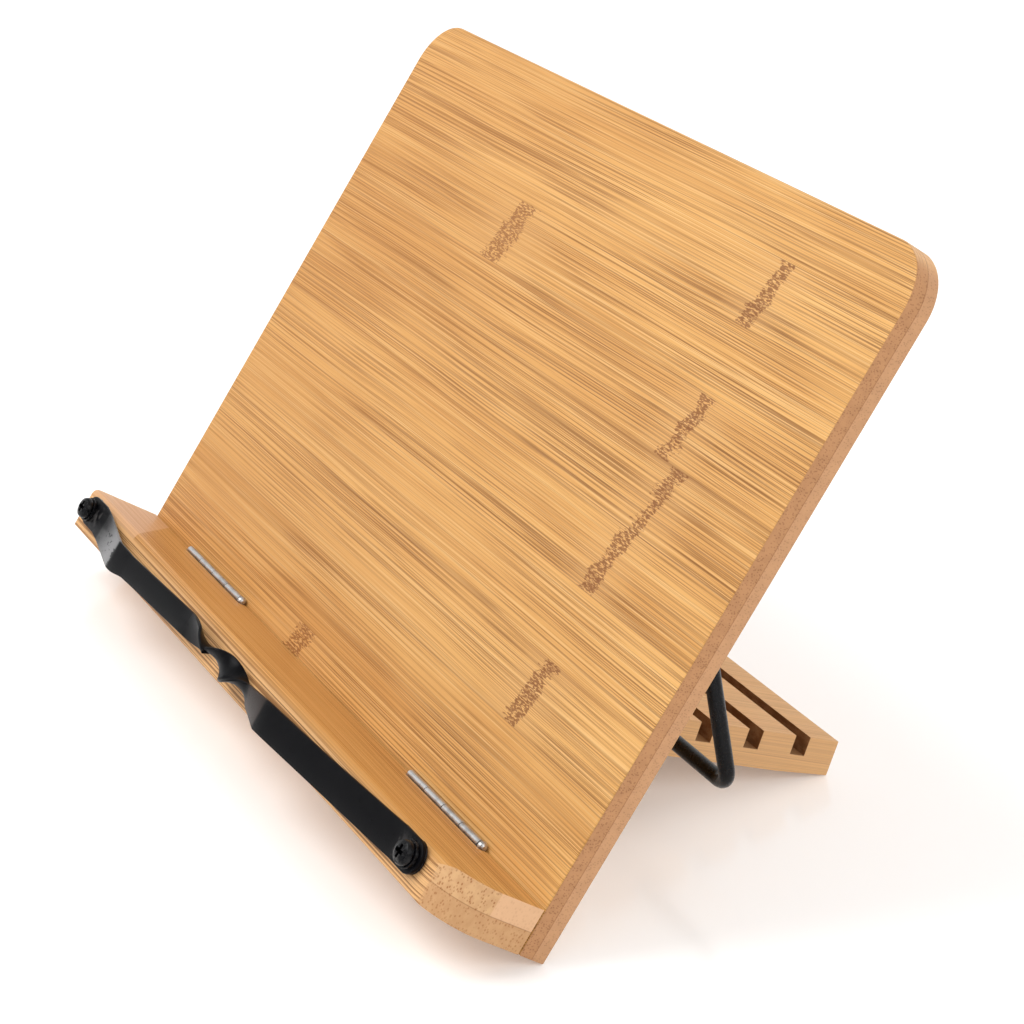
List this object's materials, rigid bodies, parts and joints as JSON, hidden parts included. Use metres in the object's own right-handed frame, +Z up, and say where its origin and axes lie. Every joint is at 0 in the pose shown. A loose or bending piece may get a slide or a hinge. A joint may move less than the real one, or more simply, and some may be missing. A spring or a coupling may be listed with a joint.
{
  "type": "photo album stand",
  "caption": "Folding bamboo album stand: leaning back board, hinged ledge with swinging page clips, and a grooved support plate propped by a bent wire.",
  "frame": {"origin": "centre of the whole stand's bounding box, at the floor", "axes": "+X to the reader's right along the ledge, +Y to the rear (the board leans that way), +Z up"},
  "size_m": [0.28, 0.1662, 0.1761],
  "materials": {
    "bamboo_board": "satin lacquered bamboo strips",
    "bamboo_ledge": "satin lacquered bamboo strips",
    "bamboo_plate": "plain sanded bamboo",
    "black_wire": "satin black",
    "black_saddle": "satin black",
    "black_clip": "glossy black",
    "black_screw": "glossy black",
    "zinc_hinge": "bright zinc plated"
  },
  "bodies": {
    "board": {"back_board": "bamboo_board", "ledge_hinge_left_board_leaf": "zinc_hinge", "ledge_hinge_left_board_screw_1": "zinc_hinge", "ledge_hinge_left_board_screw_2": "zinc_hinge", "ledge_hinge_left_pin": "zinc_hinge", "ledge_hinge_right_board_leaf": "zinc_hinge", "ledge_hinge_right_board_screw_1": "zinc_hinge", "ledge_hinge_right_board_screw_2": "zinc_hinge", "ledge_hinge_right_pin": "zinc_hinge", "plate_hinge_left_board_leaf": "zinc_hinge", "plate_hinge_left_board_screw_1": "zinc_hinge", "plate_hinge_left_board_screw_2": "zinc_hinge", "plate_hinge_left_pin": "zinc_hinge", "plate_hinge_right_board_leaf": "zinc_hinge", "plate_hinge_right_board_screw_1": "zinc_hinge", "plate_hinge_right_board_screw_2": "zinc_hinge", "plate_hinge_right_pin": "zinc_hinge", "wire_saddle_left": "black_saddle", "wire_saddle_left_screw_1": "black_saddle", "wire_saddle_left_screw_2": "black_saddle", "wire_saddle_right": "black_saddle", "wire_saddle_right_screw_1": "black_saddle", "wire_saddle_right_screw_2": "black_saddle"},
    "ledge": {"ledge": "bamboo_ledge", "ledge_hinge_left_moving_leaf": "zinc_hinge", "ledge_hinge_left_moving_screw_1": "zinc_hinge", "ledge_hinge_left_moving_screw_2": "zinc_hinge", "ledge_hinge_right_moving_leaf": "zinc_hinge", "ledge_hinge_right_moving_screw_1": "zinc_hinge", "ledge_hinge_right_moving_screw_2": "zinc_hinge", "page_clip_left_flat_washer": "black_screw", "page_clip_left_screw": "black_screw", "page_clip_left_spring_washer": "black_screw", "page_clip_right_flat_washer": "black_screw", "page_clip_right_screw": "black_screw", "page_clip_right_spring_washer": "black_screw"},
    "plate": {"plate_hinge_left_moving_leaf": "zinc_hinge", "plate_hinge_left_moving_screw_1": "zinc_hinge", "plate_hinge_left_moving_screw_2": "zinc_hinge", "plate_hinge_right_moving_leaf": "zinc_hinge", "plate_hinge_right_moving_screw_1": "zinc_hinge", "plate_hinge_right_moving_screw_2": "zinc_hinge", "support_plate": "bamboo_plate"},
    "wire": {"wire_bracket": "black_wire"},
    "clip_left": {"page_clip_left": "black_clip"},
    "clip_right": {"page_clip_right": "black_clip"}
  },
  "joints": [
    {"name": "ledge_fold", "type": "hinge", "parent": "board", "child": "ledge", "pos_m": [0, -0.04676, 0.01674], "axis": [-1, 0, 0], "range_deg": [0, 90]},
    {"name": "plate_fold", "type": "hinge", "parent": "board", "child": "plate", "pos_m": [0, -0.01873, 0.04127], "axis": [1, 0, 0], "range_deg": [-15, 75]},
    {"name": "wire_fold", "type": "hinge", "parent": "board", "child": "wire", "pos_m": [0, 0.00746, 0.08329], "axis": [1, 0, 0], "range_deg": [0, 135]},
    {"name": "clip_left_swing", "type": "hinge", "parent": "ledge", "child": "clip_left", "pos_m": [-0.123, -0.07469, 0.02737], "axis": [0, -0.8602, 0.51], "range_deg": [0, 180]},
    {"name": "clip_right_swing", "type": "hinge", "parent": "ledge", "child": "clip_right", "pos_m": [0.121, -0.0748, 0.0272], "axis": [0, 0.8602, -0.51], "range_deg": [0, 180]}
  ]
}
